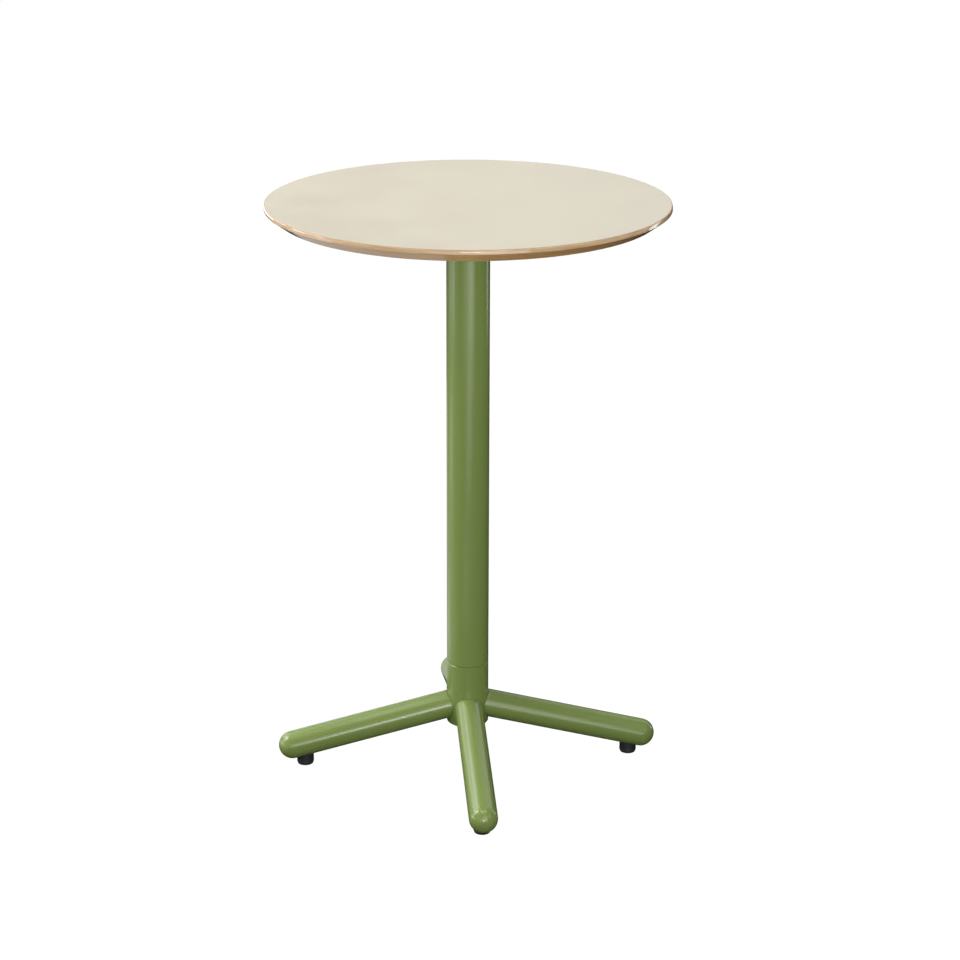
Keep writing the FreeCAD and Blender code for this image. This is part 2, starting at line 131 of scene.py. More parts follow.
# Joins shells into one mesh, merges their shared points and turns every face outwards. A finish is
# a slot's name and a material; the slot's name is not used.
def makePiece(name, shells, finish, replaced=(), body="frame", crease=35):
    slotName, material = finish
    starts = np.cumsum([0] + [len(points) for points, quads in shells])
    corners = np.concatenate([points for points, quads in shells])
    quads = np.concatenate([quads + start for (points, quads), start in zip(shells, starts)])
    mesh = bpy.data.meshes.new(name)
    mesh.from_pydata(corners.tolist(), [], quads.tolist())
    work = bmesh.new()
    work.from_mesh(mesh)
    bmesh.ops.remove_doubles(work, verts=work.verts, dist=mergeDistance)
    bmesh.ops.recalc_face_normals(work, faces=work.faces)
    openEdges = sum(not edge.is_manifold for edge in work.edges)
    volume = work.calc_volume(signed=True) / mm ** 3
    work.to_mesh(mesh)
    work.free()
    mesh.shade_smooth()
    mesh.set_sharp_from_angle(angle=math.radians(crease))
    mesh.materials.append(material)
    piece = bpy.data.objects.new(name, mesh)
    bpy.context.scene.collection.objects.link(piece)
    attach(piece, body)
    if replaced:
        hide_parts(*replaced)
    print("  %-20s %6d faces, %9.0f mm3, %d open edges" % (name, len(mesh.polygons), volume, openEdges))


# The border of a patch of the grid, once round: first column, last row, last column, first row.
def borderOf(along, around):
    return np.concatenate([
        np.stack([along[:-1], np.full(len(along) - 1, around[0])], axis=-1),
        np.stack([np.full(len(around) - 1, along[-1]), around[:-1]], axis=-1),
        np.stack([along[:0:-1], np.full(len(along) - 1, around[-1])], axis=-1),
        np.stack([np.full(len(around) - 1, along[0]), around[:0:-1]], axis=-1),
    ])


# Rings of points from the mouth of a round upright hole out to the border of its patch: each ring is
# a blend, in the surface's own two parameters, of the mouth and the border, point for point.
def holePatch(border, surface, parametersAt, centre, radius, shares):
    edge = surface(border)
    bearing = np.arctan2(edge[:, 1], edge[:, 0] - centre)
    mouth = parametersAt(centre + radius * np.cos(bearing), radius * np.sin(bearing))
    share = np.array(shares)[:, None, None]
    return surface(mouth * (1 - share) + border * share)


# Places read from the frame

def low(node):
    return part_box(node)[0]


def high(node):
    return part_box(node)[1]


def rise(node):  # its lower and its upper end
    return low(node).z, high(node).z


def halfWidth(node):  # across Y, so it is also the radius of a leg's round pieces
    return (high(node).y - low(node).y) / 2


topRadius = high("top_core").x
footRadius = high("top_backing_sheet").x       # where the reverse bevel meets the backing sheet
columnRadius = high("column_tube").x
seamHeight = low("column_tube").z
plateBase = low("mounting_plate").z


# Finishes

# sRGB hex to linear: below 0.04045 divided by 12.92, above it the 2.4 power curve.
def paint(hexColour):
    parts = np.array([int(hexColour[i:i + 2], 16) for i in (1, 3, 5)]) / 255
    linear = np.where(parts <= 0.04045, parts / 12.92, ((parts + 0.055) / 1.055) ** 2.4)
    return tuple(float(part) for part in linear) + (1.0,)


# Adds one node: settings are its properties, inputs are numbers, colours or sockets to link from.
def addNode(tree, kind, inputs, **settings):
    node = tree.nodes.new(kind)
    for name, value in settings.items():
        setattr(node, name, value)
    for name, value in inputs.items():
        if isinstance(value, bpy.types.NodeSocket):
            tree.links.new(value, node.inputs[name])
        else:
            node.inputs[name].default_value = value
    return node


def startMaterial(name):  # an empty material and the object's own coordinates
    material = bpy.data.materials.new(name)
    material.use_nodes = True
    tree = material.node_tree
    tree.nodes.clear()
    return material, tree, addNode(tree, "ShaderNodeTexCoord", {}).outputs["Object"]


def finishSurface(tree, inputs):
    surface = addNode(tree, "ShaderNodeBsdfPrincipled", inputs)
    addNode(tree, "ShaderNodeOutputMaterial", {"Surface": surface.outputs["BSDF"]})


def noise(tree, place, size, detail, **more):  # size is how wide its clouds are
    return addNode(tree, "ShaderNodeTexNoise", {
        "Vector": place, "Scale": 1 / size, "Detail": detail, **more}).outputs["Fac"]


def flattened(tree, place, width, height):  # coordinates in which what was round lies level
    return addNode(tree, "ShaderNodeMapping", {
        "Vector": place, "Scale": (1, 1, width / height)}).outputs["Vector"]


def heightIn(tree, place):
    return addNode(tree, "ShaderNodeSeparateXYZ", {"Vector": place}).outputs["Z"]


def spread(tree, value, span, onto=(0.0, 1.0)):  # carries one span of values over to another
    return addNode(tree, "ShaderNodeMapRange", {
        "Value": value, "From Min": span[0], "From Max": span[1],
        "To Min": onto[0], "To Max": onto[1]}).outputs["Result"]


def blend(tree, share, *ends):  # each end is a hex colour or a socket
    first, second = (paint(end) if isinstance(end, str) else end for end in ends)
    return addNode(tree, "ShaderNodeMix", {
        "Factor": share, "A": first, "B": second}, data_type="RGBA").outputs["Result"]


def relief(tree, height, depth, strength):
    return addNode(tree, "ShaderNodeBump", {
        "Height": height, "Distance": depth, "Strength": strength}).outputs["Normal"]


noiseSpan = (0.3, 0.7)           # where nearly all values of a noise lie
filmIor = 1.5                    # paint, lacquer and melamine

greenLook = {
    "paint": "#7F914F",          # yellow-green film
    "thick": "#7A8E4D",          # where the film lies a little thicker
    "roughness": (0.19, 0.22),
    "cloud": 60 * mm,
    "peel": 6 * mm,              # its dimples are about 2 mm, drawn coarser so that they show
    "peelDepth": 0.004 * mm,
}


# Polyester powder coat, sprayed and baked: smooth semi-gloss with a faint orange peel.
# Colour and gloss drift with a cloudy noise; a small noise gives the peel.
def powderCoat():
    look = greenLook
    material, tree, place = startMaterial("green_polyester_powder_coat")
    cloud = noise(tree, place, look["cloud"], 3.0)
    peel = noise(tree, place, look["peel"], 1.0)
    finishSurface(tree, {
        "Base Color": blend(tree, cloud, look["thick"], look["paint"]),
        "Roughness": spread(tree, cloud, noiseSpan, look["roughness"]),
        "Normal": relief(tree, peel, look["peelDepth"], 0.5),
        "IOR": filmIor})
    return material


laminateLook = {
    "name": "beige_high_pressure_laminate",
    "sheet": "#C0BAA9",
    "fleck": "#BDB6A6",
    "fleckSpan": (0.75, 1.2),    # of the two noises added up
    "core": "#A8845F",           # brown resin-soaked paper under the printed face
    "decor": 0.2 * mm,           # depth of the printed face
    "decorFade": 0.05,           # share of the thickness in which it turns to core
    "roughness": (0.46, 0.54),
    "cloud": 90 * mm,
    "grain": 1.6 * mm,           # the pearl texture is about 0.3 mm, drawn coarser so that it shows
    "grainDepth": 0.02 * mm,
}
backingLook = {
    **laminateLook, "name": "grey_beige_backing_laminate", "sheet": "#BAB5A4", "fleck": "#B5AE9C"}


# High-pressure laminate, pressed against a pearl-textured plate: matt, even, faintly clouded.
# Colour is a fleck where a cloudy noise and a fine one are both low; deeper than the printed face,
# measured in height from the sheet's outer face towards its glued one, it is the brown core.
def pressedLaminate(look, outer, glued):
    material, tree, place = startMaterial(look["name"])
    cloud = noise(tree, place, look["cloud"], 4.0)
    grain = noise(tree, place, look["grain"], 2.0)
    tone = addNode(tree, "ShaderNodeMath", {0: cloud, 1: grain}, operation="ADD").outputs["Value"]
    printed = blend(tree, spread(tree, tone, look["fleckSpan"]), look["fleck"], look["sheet"])
    decorEnd = outer + math.copysign(look["decor"], glued - outer)
    coreStart = decorEnd + (glued - outer) * look["decorFade"]
    depth = spread(tree, heightIn(tree, place), (decorEnd, coreStart))
    finishSurface(tree, {
        "Base Color": blend(tree, depth, printed, look["core"]),
        "Roughness": spread(tree, cloud, noiseSpan, look["roughness"]),
        "Normal": relief(tree, grain, look["grainDepth"], 0.4),
        "IOR": filmIor})
    return material


woodLook = {
    "upright": ("#B18F66", "#D1B189"),   # late and early wood on the upright band, painted paler and greyer as painted sheen
    "shadeBevel": ("#BC8F59", "#DDB178"),  # the same on the reverse bevel, painted richer as painted shade
    "shadeToSheen": (-0.6 * mm, 0.2 * mm),     # from the bevel's painted shade to the band's painted sheen, about the band's foot
    "pore": "#6E4B2B",
    "poreSpan": (0.62, 0.8),     # of the noise, from no pore to a full one
    "poreDepth": (0.0, 0.55),    # how much of its colour a pore gives
    "poreSize": (14 * mm, 0.7 * mm),     # pores are about 2 by 0.1 mm, drawn coarser so that they show
    "streak": (70 * mm, 2.6 * mm),       # how far a streak runs round the rim, and how high it is
    "streakSpan": (0.32, 0.68),
    "streakRelief": 0.03 * mm,
    "roughness": 0.45,
    "lacquerRoughness": 0.06,
}


# Solid beech, sanded and clear-lacquered: long streaks round the rim under a glossy film.
# The noise is squeezed in height alone, so streaks and pores run level all round without a seam.
# By height, colour is painted as light falls: the upright band paler and greyer as painted sheen, the
# reverse bevel richer as painted shade.
def lacqueredBeech(bandFoot):
    look = woodLook
    material, tree, place = startMaterial("clear_lacquered_beech")
    level = flattened(tree, place, *look["streak"])
    streaks = noise(tree, level, look["streak"][0], 5.0, Roughness=0.62, Distortion=0.4)
    tone = spread(tree, streaks, look["streakSpan"])
    shadeBevel = blend(tree, tone, *look["shadeBevel"])
    upright = blend(tree, tone, *look["upright"])
    shadeToSheen = tuple(bandFoot + height for height in look["shadeToSheen"])
    # Painted shade on the reverse bevel, blended by height into painted sheen on the upright band.
    wood = blend(tree, spread(tree, heightIn(tree, place), shadeToSheen), shadeBevel, upright)
    pores = noise(tree, flattened(tree, place, *look["poreSize"]), look["poreSize"][0], 2.0)
    poreShare = spread(tree, pores, look["poreSpan"], look["poreDepth"])
    finishSurface(tree, {
        "Base Color": blend(tree, poreShare, wood, look["pore"]),
        "Roughness": look["roughness"],
        "Normal": relief(tree, streaks, look["streakRelief"], 0.3),
        "IOR": filmIor,
        "Coat Weight": 1.0, "Coat Roughness": look["lacquerRoughness"], "Coat IOR": filmIor})
    return material


nylonLook = {
    "pellet": "#272A2A",
    "rubbed": "#2F3231",
    "roughness": (0.42, 0.55),
    "pit": 1.2 * mm,             # the tool's pits are about 0.2 mm, drawn coarser so that they show
    "pitDepth": 0.03 * mm,
}


# Glass-filled nylon, injection moulded in a spark-eroded tool: black, satin, finely pitted.
def mouldedNylon():
    look = nylonLook
    material, tree, place = startMaterial("moulded_black_nylon")
    pits = noise(tree, place, look["pit"], 3.0)
    finishSurface(tree, {
        "Base Color": blend(tree, pits, look["pellet"], look["rubbed"]),
        "Roughness": spread(tree, pits, noiseSpan, look["roughness"]),
        "Normal": relief(tree, pits, look["pitDepth"], 0.4),
        "IOR": 1.53})
    return material


rubberLook = {
    "rubber": "#181817",
    "bloom": "#262524",
    "roughness": 0.82,
    "cloud": 5 * mm,
    "skinDepth": 0.05 * mm,
}


# Moulded rubber: black and dull, with a slightly greyer bloom in clouds.
def mouldedRubber():
    look = rubberLook
    material, tree, place = startMaterial("moulded_black_rubber")
    cloud = noise(tree, place, look["cloud"], 4.0)
    finishSurface(tree, {
        "Base Color": blend(tree, cloud, look["rubber"], look["bloom"]),
        "Roughness": look["roughness"],
        "Normal": relief(tree, cloud, look["skinDepth"], 0.3),
        "IOR": 1.52})
    return material


zincLook = {"bright": "#C9CCD0", "dull": "#A9ABA8", "roughness": (0.26, 0.42), "cloud": 4 * mm}


# Bright zinc plating on turned steel: silvery with faint blue-grey clouds.
def zincPlate():
    look = zincLook
    material, tree, place = startMaterial("bright_zinc_plated_steel")
    cloud = noise(tree, place, look["cloud"], 4.0)
    finishSurface(tree, {
        "Base Color": blend(tree, cloud, look["dull"], look["bright"]),
        "Metallic": 1.0,
        "Roughness": spread(tree, cloud, noiseSpan, look["roughness"])})
    return material


coat = ("green_powder_coat", powderCoat())
laminate = ("beige_laminate", pressedLaminate(
    laminateLook, high("top_surface_sheet").z, low("top_surface_sheet").z))
backing = ("backing_laminate", pressedLaminate(backingLook, *rise("top_backing_sheet")))
nylon = ("black_nylon", mouldedNylon())
rubber = ("black_rubber", mouldedRubber())
zinc = ("zinc_steel", zincPlate())
print("materials made")


# Drilled discs: board, backing sheet and mounting plate

screwLook = {
    "count": 8,
    "columns": 48,
    "headRadius": 6 * mm,
    "shankRadius": 3 * mm,
    "shankTip": 0.8 * mm,        # chamfer at the point
    "keyFlats": 4 * mm,          # across the flats of the hexagon socket
    "keyDepth": 2 * mm,
    "keyEdge": 0.2 * mm,
    "crownRadius": 2.9 * mm,     # flat land round the socket
    "domeRows": 8,
    "rimDepth": 0.8 * mm,
    "rimTurn": (0.05 * mm, 0.15 * mm),   # inward and upward, where the dome turns into the rim
    "rimEdge": 0.1 * mm,
}
drilling = {"columnsPerHole": 32, "rows": 8, "reach": 12 * mm, "shares": (0, 0.04, 0.15, 0.4, 0.7, 1)}
screwCircle = high("plate_screws").x - screwLook["headRadius"]
drilledBand = (screwCircle - drilling["reach"], screwCircle + drilling["reach"])
drilledColumns = screwLook["count"] * drilling["columnsPerHole"]


# A flat face at one height between the two radii of the drilled band, with a ring of round holes:
# one patch per hole, blended in distance and angle from a sector down to the hole's mouth.
def drilledFace(height, holeRadius):
    radii = np.linspace(*drilledBand, drilling["rows"] + 1)
    half = math.pi / screwLook["count"]
    angles = np.linspace(-half, half, drilling["columnsPerHole"] + 1)

    def surface(grid):
        distance, angle = grid[..., 0], grid[..., 1]
        return np.stack([distance * np.cos(angle), distance * np.sin(angle), height + 0 * angle], axis=-1)

    def parametersAt(x, y):
        return np.stack([np.hypot(x, y), np.arctan2(y, x)], axis=-1)

    return holePatch(borderOf(radii, angles), surface, parametersAt, screwCircle, holeRadius,
                     drilling["shares"])


# Everything of one hole, repeated round the disc: its face patches and its wall. A through hole joins
# two faces; a blind one has a floor.
def drilledHoles(heights, holeRadius, floorHeight=None):
    faces = [drilledFace(height, holeRadius) for height in heights]
    rows = [face[0] for face in faces]
    if floorHeight is not None:
        floor = rows[0] * [1, 1, 0] + [0, 0, floorHeight]
        rows += [floor, np.broadcast_to([screwCircle, 0, floorHeight], floor.shape)]
    one = [shell(face) for face in faces] + [shell(np.stack(rows))]
    return repeatRound(one, screwLook["count"])


def drilledDisc(outlines):  # turned parts whose columns meet the drilled band's
    return [shell(turned(np.array(outline), drilledColumns)) for outline in outlines]


boardLook = {
    "bandEdge": 1.2 * mm,        # softened line between the upright band and the reverse bevel
    "footEdge": 0.1 * mm,
    "bandFoot": 15.1 * mm,       # above the board's base
    "crownFoot": 18.2 * mm,
    "crownInset": 0.7 * mm,
    "crownRows": 9,
    "crownMargin": 1 * mm,       # first ring inside the crown, which keeps the flat face flat
    "insertRadius": 5 * mm,
    "insertDepth": 14 * mm,
}


# The board's outline: flat underside, reverse bevel, upright band, then the crown, an arc that leaves
# the band upright and has fallen back by its inset where the laminate starts.
def makeBoard():
    look = boardLook
    base, top = rise("top_core")
    inset = look["crownInset"]
    crownRise = top - base - look["crownFoot"]
    crownRadius = (inset ** 2 + crownRise ** 2) / (2 * inset)
    crownAngles = np.linspace(0, math.asin(crownRise / crownRadius), look["crownRows"])
    crown = np.stack([
        topRadius - crownRadius + crownRadius * np.cos(crownAngles),
        base + look["crownFoot"] + crownRadius * np.sin(crownAngles)], axis=-1)
    rim = softOutline([
        (drilledBand[1], base, 0),
        (footRadius, base, look["footEdge"]),
        (topRadius, base + look["bandFoot"], look["bandEdge"]),
        (topRadius, base + look["crownFoot"], 0),
    ], closed=False)
    outside = np.concatenate([rim[:-1], crown, [(topRadius - inset - look["crownMargin"], top), (0, top)]])
    shells = drilledDisc([[(0, base), (drilledBand[0], base)], outside])
    shells += drilledHoles([base], look["insertRadius"], base + look["insertDepth"])
    beech = ("lacquered_wood", lacqueredBeech(base + look["bandFoot"]))
    makePiece("topBoard", shells, beech, ["top_core"])


sheetLook = {"inset": 2.4 * mm, "arris": 0.45 * mm, "bevelEdge": 0.25 * mm, "gluedEdge": 0.05 * mm}


# Thin sheet on the board, its edge trimmed back in line with the crown and its arris eased.
def makeTopSheet():
    look = sheetLook
    base, top = rise("top_surface_sheet")
    outline = softOutline([
        (0, base, 0),
        (topRadius - boardLook["crownInset"], base, 0),
        (topRadius - look["inset"], top, look["arris"]),
        (0, top, 0),
    ], closed=False)
    makePiece("topLaminate", [shell(turned(outline, drilledColumns))], laminate,
              ["top_surface_sheet"])


# Balancing sheet under the board, its edge in line with the reverse bevel, drilled for the inserts.
def makeBackingSheet():
    look = sheetLook
    base, top = rise("top_backing_sheet")
    slant = (topRadius - footRadius) / boardLook["bandFoot"] * (top - base)
    outlines = [
        [(0, base), (drilledBand[0], base)],
        softOutline([
            (drilledBand[1], base, 0),
            (footRadius - slant, base, look["bevelEdge"]),
            (footRadius, top, look["gluedEdge"]),
            (drilledBand[1], top, 0),
        ], closed=False, support=0.1 * mm),
        [(drilledBand[0], top), (0, top)],
    ]
    shells = drilledDisc(outlines) + drilledHoles([base, top], boardLook["insertRadius"])
    makePiece("backingSheet", shells, backing, ["top_backing_sheet"])


plateLook = {"holeRadius": 3.3 * mm, "chamfer": 2 * mm, "edge": 0.3 * mm}


# Laser-cut disc with a chamfered lower edge and eight clearance holes.
def makeMountingPlate():
    look = plateLook
    base, top = plateBase, high("mounting_plate").z
    radius = high("mounting_plate").x
    outlines = [
        [(0, base), (drilledBand[0], base)],
        softOutline([
            (drilledBand[1], base, 0),
            (radius - look["chamfer"], base, look["edge"]),
            (radius, base + look["chamfer"], look["edge"]),
            (radius, top, look["edge"]),
            (drilledBand[1], top, 0),
        ], closed=False),
        [(drilledBand[0], top), (0, top)],
    ]
    shells = drilledDisc(outlines) + drilledHoles([base, top], look["holeRadius"])
    makePiece("mountingPlate", shells, coat, ["mounting_plate"])


# A flanged button-head screw, upside down under the plate. Each row is a ring whose distance from the
# axis is a mix of a circle and a hexagon, apothem / cos(angle within the side); the dome falls with the
# square of the distance past the land.
def makeScrews():
    look = screwLook
    foot = plateBase - low("plate_screws").z
    shank = high("plate_screws").z - plateBase
    head, flats = look["headRadius"], look["keyFlats"] / 2
    keyEdge, rimEdge = look["keyEdge"], look["rimEdge"]
    angles = ringAngles(look["columns"])
    hexagon = 1 / np.cos((angles + math.pi / 6) % (math.pi / 3) - math.pi / 6)
    dome = np.linspace(look["crownRadius"], head - look["rimTurn"][0], look["domeRows"])
    fall = (dome - look["crownRadius"]) / (head - look["crownRadius"])
    domeHeights = -foot + (foot - look["rimDepth"]) * fall ** 2
    rows = [(0, -foot + look["keyDepth"], 1), (flats, -foot + look["keyDepth"], 1),
            (flats, -foot + keyEdge, 1), (flats + keyEdge, -foot, 1)]
    rows += [(across, up, 0) for across, up in zip(dome, domeHeights)]
    rows += [(head, -look["rimDepth"] + look["rimTurn"][1], 0), (head, -rimEdge, 0), (head - rimEdge, 0, 0),
             (look["shankRadius"], 0, 0), (look["shankRadius"], shank - look["shankTip"], 0),
             (look["shankRadius"] - look["shankTip"], shank, 0), (0, shank, 0)]
    across, up, flatness = (np.array(column)[:, None] for column in zip(*rows))
    ring = across * (flatness * hexagon + (1 - flatness))
    points = np.stack([
        screwCircle + ring * np.cos(angles), ring * np.sin(angles), plateBase + up + 0 * ring], axis=-1)
    makePiece("plateScrews", repeatRound([shell(points)], look["count"]), zinc, ["plate_screws"])


makeBoard()
makeTopSheet()
makeBackingSheet()
makeMountingPlate()
makeScrews()
print("tabletop made")


# Column and hub

columnLook = {
    "columns": 192,
    "bore": 35.05 * mm,
    "boreEdge": 0.1 * mm,
    "seamChamfer": 1.1 * mm,     # both tubes at the seam, so that a fine groove shows
    "seamEdge": 0.12 * mm,
    "seamSlot": 0.28 * mm,       # half the height of the shadow line at the bottom of the groove
    "slotDepth": 2.2 * mm,
    "slotEdge": 0.02 * mm,
    "plateEdge": 0.05 * mm,
    "footChamfer": 1.0 * mm,
    "footEdge": 0.3 * mm,
    "weld": 3.0 * mm,            # under the mounting plate
}


# The end of a tube at the seam, from its bore outwards: shadow slot, then chamfer. The column's end
# rises from the seam (way 1), the hub's mirrors it (way -1).
def seamEnd(way):
    look = columnLook
    slot = columnRadius - look["slotDepth"]
    return [
        (look["bore"], seamHeight, look["boreEdge"]),
        (slot, seamHeight, look["slotEdge"]),
        (slot, seamHeight + way * look["seamSlot"], look["slotEdge"]),
        (columnRadius - look["seamChamfer"] + look["seamSlot"], seamHeight + way * look["seamSlot"],
         look["boreEdge"]),
        (columnRadius, seamHeight + way * look["seamChamfer"], look["seamEdge"]),
    ]


def makeTube(name, corners, node):
    outline = softOutline(corners, support=0.05 * mm)
    makePiece(name, [shell(turned(outline, columnLook["columns"]), wrapRows=True)], coat, [node])


def makeColumn():
    look = columnLook
    makeTube("column", seamEnd(1) + [
        (columnRadius, plateBase, look["plateEdge"]),
        (look["bore"], plateBase, look["plateEdge"]),
    ], "column_tube")


def makeHub():
    look = columnLook
    base = low("hub_tube").z
    makeTube("hub", [
        (look["bore"], base, look["footEdge"]),
        (columnRadius - look["footChamfer"], base, look["footEdge"]),
        (columnRadius, base + look["footChamfer"], look["footEdge"]),
    ] + seamEnd(-1)[::-1], "hub_tube")


weldLook = {
    "rows": 8,
    "hollow": 0.55,              # 1 would be a flat face, 0 the hollowest
    "root": 0.15,                # how far it sinks below the line, as a share of its size
    "ripple": 2.4 * mm,          # distance between its scales
    "rippleDepth": 0.08,
}


# A weld along a closed line: its face is a quadratic curve from one plate to the other, hollow by the
# given share, and its size swells and sinks by a sine of the length run, which gives the scales.
def weldBead(line, toFirst, toSecond, size):
    look = weldLook
    run = np.cumsum(np.linalg.norm(line - np.roll(line, 1, axis=0), axis=1))
    scales = np.round(run[-1] / look["ripple"])
    swell = 1 + look["rippleDepth"] * np.sin(run / run[-1] * fullTurn * scales)
    leg = (size * swell)[None, :, None]
    share = np.linspace(0, 1, look["rows"])[:, None, None]
    middle = look["hollow"] * (toFirst + toSecond) / 2
    face = ((1 - share) ** 2 * toFirst + 2 * share * (1 - share) * middle + share ** 2 * toSecond) * leg
    root = -look["root"] * leg * (toFirst + toSecond) / 2
    return shell(np.concatenate([line + face, line + root]), wrapRows=True)


def makeColumnWeld():
    look = columnLook
    angles = ringAngles(4 * look["columns"])
    outward = np.stack([np.cos(angles), np.sin(angles), 0 * angles], axis=-1)
    down = np.broadcast_to([0.0, 0.0, -1.0], outward.shape)
    line = outward * columnRadius + [0, 0, plateBase]
    makePiece("columnWeld", [weldBead(line, outward, down, look["weld"])], coat, crease=60)


plugLook = {
    "columns": 96,
    "edge": 0.6 * mm,
    "innerEdge": 0.2 * mm,
    "floor": 2.5 * mm,
    "wall": 2 * mm,
    "dimple": 3 * mm,
    "dimpleDepth": 0.6 * mm,
}


# Moulded plug in the hub's lower end, with the small dimple where the plastic was let in.
def makeHubPlug():
    look = plugLook
    base, top = rise("hub_plug")
    radius, edge = high("hub_plug").x, look["innerEdge"]
    outline = softOutline([
        (0, base + look["dimpleDepth"], 0),
        (look["dimple"], base + look["dimpleDepth"], edge),
        (look["dimple"] + look["dimpleDepth"], base, edge),
        (radius, base, look["edge"]),
        (radius, top, edge),
        (radius - look["wall"], top, edge),
        (radius - look["wall"], base + look["floor"], edge),
        (0, base + look["floor"], 0),
    ], closed=False, support=0.1 * mm)
    makePiece("hubPlug", [shell(turned(outline, look["columns"]))], nylon, ["hub_plug"])


makeColumn()
makeHub()
makeColumnWeld()
makeHubPlug()
print("column and hub made")


# Legs

legLook = {
    "slope": math.radians(14),
    "wall": 2 * mm,
    "columns": 96,
    "endEdge": 1.8 * mm,         # rounding of the cut end against the hub
    "endRows": 6,
    "copeEnd": 80 * mm,          # where the rows have straightened out from the hub's curve
    "copeRows": 10,
    "tubeRows": 13,
    "domeRows": 17,
    "patchColumns": (32, 64),    # the foot's hole lies between these columns, round the underside
    "patchRows": 16,
    "patchReach": 25.5 * mm,     # from the hole's middle, along the leg, either way
    "shares": (0, 0.05, 0.16, 0.36, 0.6, 0.8, 1),
    "weld": 0.6 * mm,
}
legRadius = halfWidth("right_leg_end_cap")
domeReach = high("right_leg_end_cap").x - legRadius
domeHeight = low("right_leg_end_cap").z + legRadius
legRun = domeReach / math.cos(legLook["slope"])
axisHeight = domeHeight + domeReach * math.tan(legLook["slope"])
footReach = (low("right_foot_sole").x + high("right_foot_sole").x) / 2
socketRadius = halfWidth("right_foot_socket")


# A point of a leg that runs along +X, sloping down: distance along the axis, angle round it from the
# top, radius. Past the dome's centre the distance is an arc length, and radius and distance follow the
# cosine and sine of the angle over the dome.
def legSurface(grid, radius):
    along, around = grid[..., 0], grid[..., 1]
    over = np.clip(along - legRun, 0, None) / legRadius
    distance = np.minimum(along, legRun) + radius * np.sin(over)
    ring = radius * np.cos(over)
    cosine, sine = math.cos(legLook["slope"]), math.sin(legLook["slope"])
    return np.stack([
        distance * cosine + ring * np.cos(around) * sine,
        ring * np.sin(around),
        axisHeight - distance * sine + ring * np.cos(around) * cosine,
    ], axis=-1)


# The leg's two parameters on its underside, straight above or below a place on the floor.
def underLeg(x, y, radius):
    around = math.pi - np.arcsin(y / radius)
    along = (x - radius * np.cos(around) * math.sin(legLook["slope"])) / math.cos(legLook["slope"])
    return np.stack([along, around], axis=-1)


# Where each line along the leg meets the hub: its distance from the column's centre line is the hub's
# radius, solved for the distance along the leg's axis.
def copeOf(around, radius):
    reach = np.sqrt(columnRadius ** 2 - (radius * np.sin(around)) ** 2)
    return (reach - radius * np.cos(around) * math.sin(legLook["slope"])) / math.cos(legLook["slope"])


# One wall of the leg, outer or inner: rows that straighten out from the cope, then even rows, a dome
# closed at its pole, and the patch with the foot's round hole left in it. The outer wall's end is
# rounded over: radius and distance follow the sine and cosine of a quarter turn.
def legWall(radius, endEdge):
    look = legLook
    angles = ringAngles(look["columns"])
    middle = underLeg(footReach, 0.0, legRadius)[0]
    start, end = middle - look["patchReach"], middle + look["patchReach"]
    turn = np.linspace(0, math.pi / 2, look["endRows"])[:, None]
    endRadii = radius - endEdge + endEdge * np.sin(turn)
    rounded = copeOf(angles, endRadii) + endEdge * (1 - np.cos(turn))
    share = np.linspace(0, 1, look["copeRows"])[:, None]
    patchAlong = np.linspace(start, end, look["patchRows"] + 1)
    straight = np.concatenate([
        np.linspace(look["copeEnd"], start, look["tubeRows"] + 1)[1:],
        patchAlong[1:],
        np.linspace(end, legRun + legRadius * math.pi / 2, look["domeRows"] + 1)[1:]])
    along = np.concatenate([
        rounded[:-1],
        rounded[-1:] * (1 - share) + look["copeEnd"] * share,
        np.broadcast_to(straight[:, None], (len(straight), len(angles)))])
    radii = np.full((len(along), 1), radius)
    radii[:len(endRadii)] = endRadii
    around = np.broadcast_to(angles, along.shape)
    firstRow = look["endRows"] - 1 + look["copeRows"] + look["tubeRows"] - 1
    firstColumn, lastColumn = look["patchColumns"]
    kept = np.ones((along.shape[0] - 1, along.shape[1]), bool)
    kept[firstRow:firstRow + look["patchRows"], firstColumn:lastColumn] = False
    points = legSurface(np.stack([along, around], axis=-1), radii)
    border = borderOf(patchAlong, np.arange(firstColumn, lastColumn + 1) * fullTurn / look["columns"])
    patch = holePatch(
        border,
        lambda grid: legSurface(grid, radius),
        lambda x, y: underLeg(x, y, radius),
        footReach, socketRadius, look["shares"])
    return points, patch, kept


# The whole leg, from the hub to the dome: outer and inner wall, joined round the cope and the hole.
def makeLeg(side):
    outer, outerPatch, kept = legWall(legRadius, legLook["endEdge"])
    inner, innerPatch, kept = legWall(legRadius - legLook["wall"], 0.0)
    shells = [
        shell(outer, kept=kept), shell(outerPatch),
        shell(inner, kept=kept), shell(innerPatch),
        shell(np.stack([outer[0], inner[0]])),
        shell(np.stack([outerPatch[0], innerPatch[0]])),
    ]
    makePiece(side + "Leg", turnShells(shells, legAzimuths[side]), coat,
              [side + "_leg_tube", side + "_leg_end_cap"])


